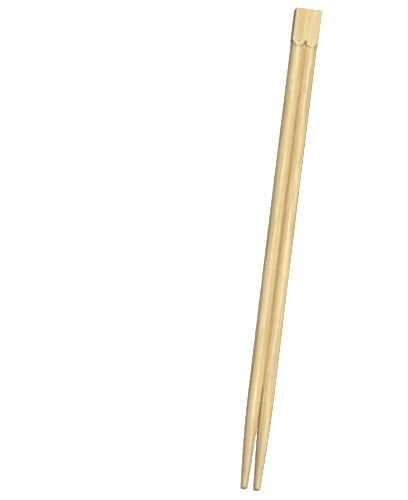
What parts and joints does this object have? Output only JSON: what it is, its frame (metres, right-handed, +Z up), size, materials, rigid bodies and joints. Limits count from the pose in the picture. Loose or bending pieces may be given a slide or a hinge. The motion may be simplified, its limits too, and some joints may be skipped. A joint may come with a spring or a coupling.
{
  "type": "pair of chopsticks",
  "caption": "Disposable bamboo chopsticks in one piece: two round sticks with tapered, flat-cut tips, split by a narrow slit and joined at a flat rectangular head with lobed shoulders.",
  "frame": {"origin": "on the floor under the middle of the pair's length and width, with the flat face of the head lying on the floor", "axes": "+Y along the sticks towards the head, +X across the pair, +Z up out of the flat face of the head"},
  "size_m": [0.0116, 0.21, 0.0066],
  "materials": {
    "bamboo": "matte"
  },
  "bodies": {
    "root": {"chopstick_pair": "bamboo"}
  },
  "joints": []
}
